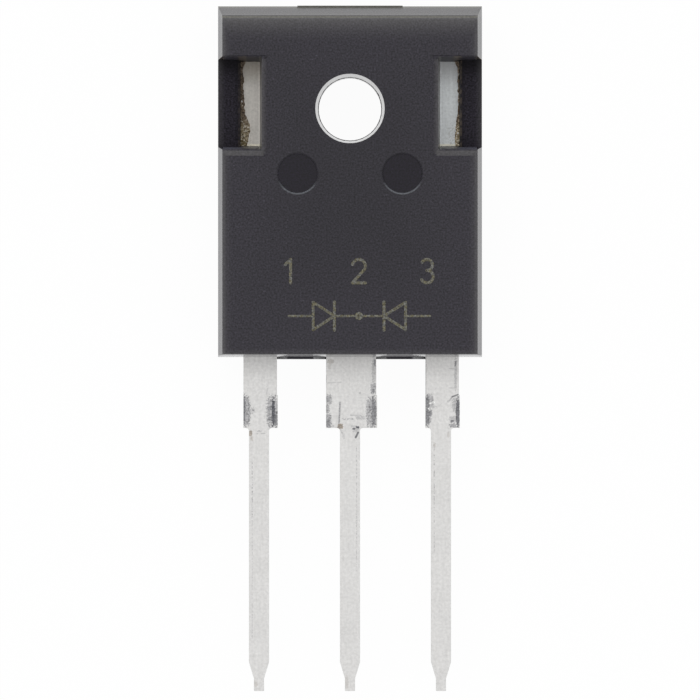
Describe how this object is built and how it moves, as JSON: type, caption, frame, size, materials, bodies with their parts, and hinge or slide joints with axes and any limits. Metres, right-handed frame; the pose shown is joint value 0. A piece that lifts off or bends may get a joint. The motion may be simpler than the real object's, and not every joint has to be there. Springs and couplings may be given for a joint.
{
  "type": "schottky diode",
  "caption": "Screw-mounted power rectifier: a flat resin body with side windows, a screw hole and a metal cooling face, and stepped flat leads in a row.",
  "frame": {"origin": "centre of the mounting hole, in the cooling face on the back", "axes": "+Z from the cooling face to the marked front face, +Y along the body away from the leads, +X to the right as seen from the front"},
  "size_m": [0.0158, 0.0411, 0.005],
  "materials": {
    "resin": "near-black filled epoxy, fine matt grain",
    "tinned_copper": "matt tin plating on copper sheet",
    "solder": "dull lead-tin solder",
    "silicon": "sawn silicon with a metallised top",
    "bond_wire": "soft drawn aluminium"
  },
  "bodies": {
    "root": {"moulded_body": "resin", "cathode_tab": "tinned_copper", "anode_lead_left": "tinned_copper", "anode_lead_right": "tinned_copper", "solder_left": "solder", "solder_right": "solder", "die_left": "silicon", "die_right": "silicon", "bond_wire_left_1": "bond_wire", "bond_wire_left_2": "bond_wire", "bond_wire_left_3": "bond_wire", "bond_wire_right_1": "bond_wire", "bond_wire_right_2": "bond_wire", "bond_wire_right_3": "bond_wire"}
  },
  "joints": []
}
